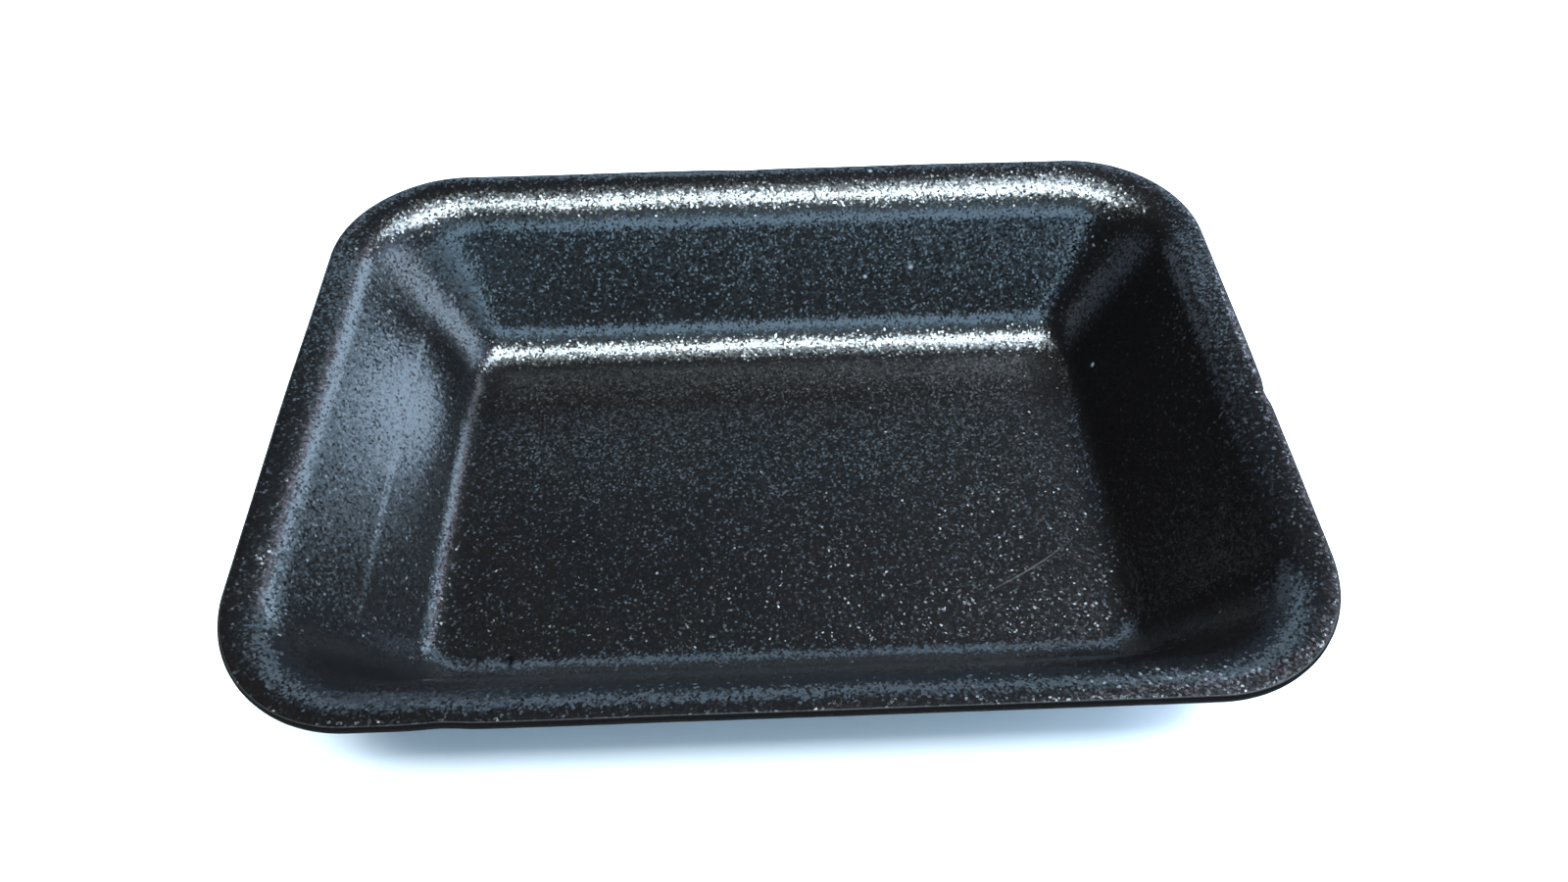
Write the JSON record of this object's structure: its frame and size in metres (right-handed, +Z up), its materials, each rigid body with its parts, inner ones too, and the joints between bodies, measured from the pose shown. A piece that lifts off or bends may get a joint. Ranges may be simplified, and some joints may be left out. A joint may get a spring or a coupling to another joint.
{
  "type": "foam food tray",
  "caption": "Deep rectangular foam tray with sloping walls, round corners and a rolled-over rim, which holds fresh food for sale.",
  "frame": {"origin": "middle of the flat base, which is at the height of what the tray stands on", "axes": "+Z up out of the open tray, X along the tray's longer sides, Y across it"},
  "size_m": [0.21, 0.151, 0.041],
  "materials": {
    "tray_foam": "black expanded-foam sheet with a pressed satin skin and a fine sparkling grain"
  },
  "bodies": {
    "root": {"tray": "tray_foam"}
  },
  "joints": []
}
